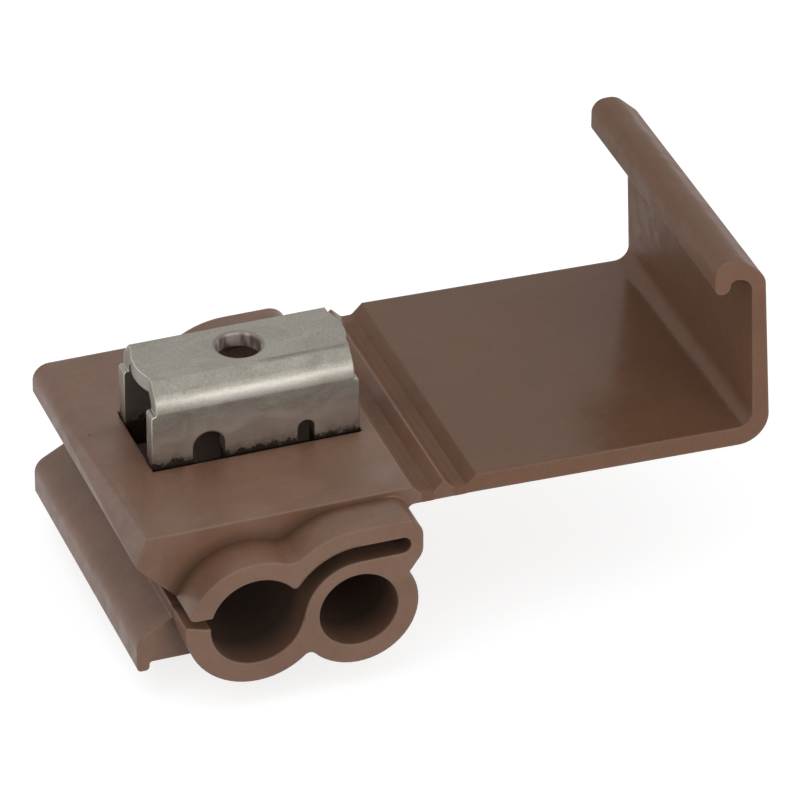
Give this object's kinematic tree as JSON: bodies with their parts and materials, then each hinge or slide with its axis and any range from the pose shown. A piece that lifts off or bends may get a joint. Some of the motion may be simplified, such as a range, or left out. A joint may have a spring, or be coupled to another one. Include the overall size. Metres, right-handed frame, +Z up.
{
  "type": "quick tap connector",
  "caption": "Snap-shut wire tap connector: hinged cover with a hooked latch, open run channel, blind tap bore and a raised U contact to press down over both wires.",
  "frame": {"origin": "on the run channel's axis, midway along the plate", "axes": "+X from the run channel towards the hinge and the open cover, +Y along both wires away from the tap bore's mouth, +Z up, the way the contact stands out"},
  "size_m": [0.0325, 0.0202, 0.0172],
  "materials": {
    "moulding": "moulded brown polypropylene, satin with faint flow marks",
    "hinge_web": "same moulding, thin at the folds",
    "cover": "same moulding, smoother inner face",
    "contact": "dull tin plating over stamped brass, bright along its bends"
  },
  "bodies": {
    "housing": {"connector_body": "moulding"},
    "link": {"hinge_link": "hinge_web"},
    "cover": {"latch_cover": "cover"},
    "contact": {"contact_clip": "contact"}
  },
  "joints": [
    {"name": "fold_1", "type": "hinge", "parent": "housing", "child": "link", "pos_m": [0.00943, 0, 0.00363], "axis": [0, -1, 0], "range_deg": [0, 90]},
    {"name": "fold_2", "type": "hinge", "parent": "link", "child": "cover", "pos_m": [0.01107, 0, 0.00363], "axis": [0, -1, 0], "range_deg": [0, 90]},
    {"name": "contact_press", "type": "slide", "parent": "housing", "child": "contact", "axis": [0, 0, -1], "range_m": [0, 0.00445]}
  ],
  "couplings": [
    {"joint": "fold_1", "follows": "contact_press", "rad_per_m": 352.98}
  ]
}
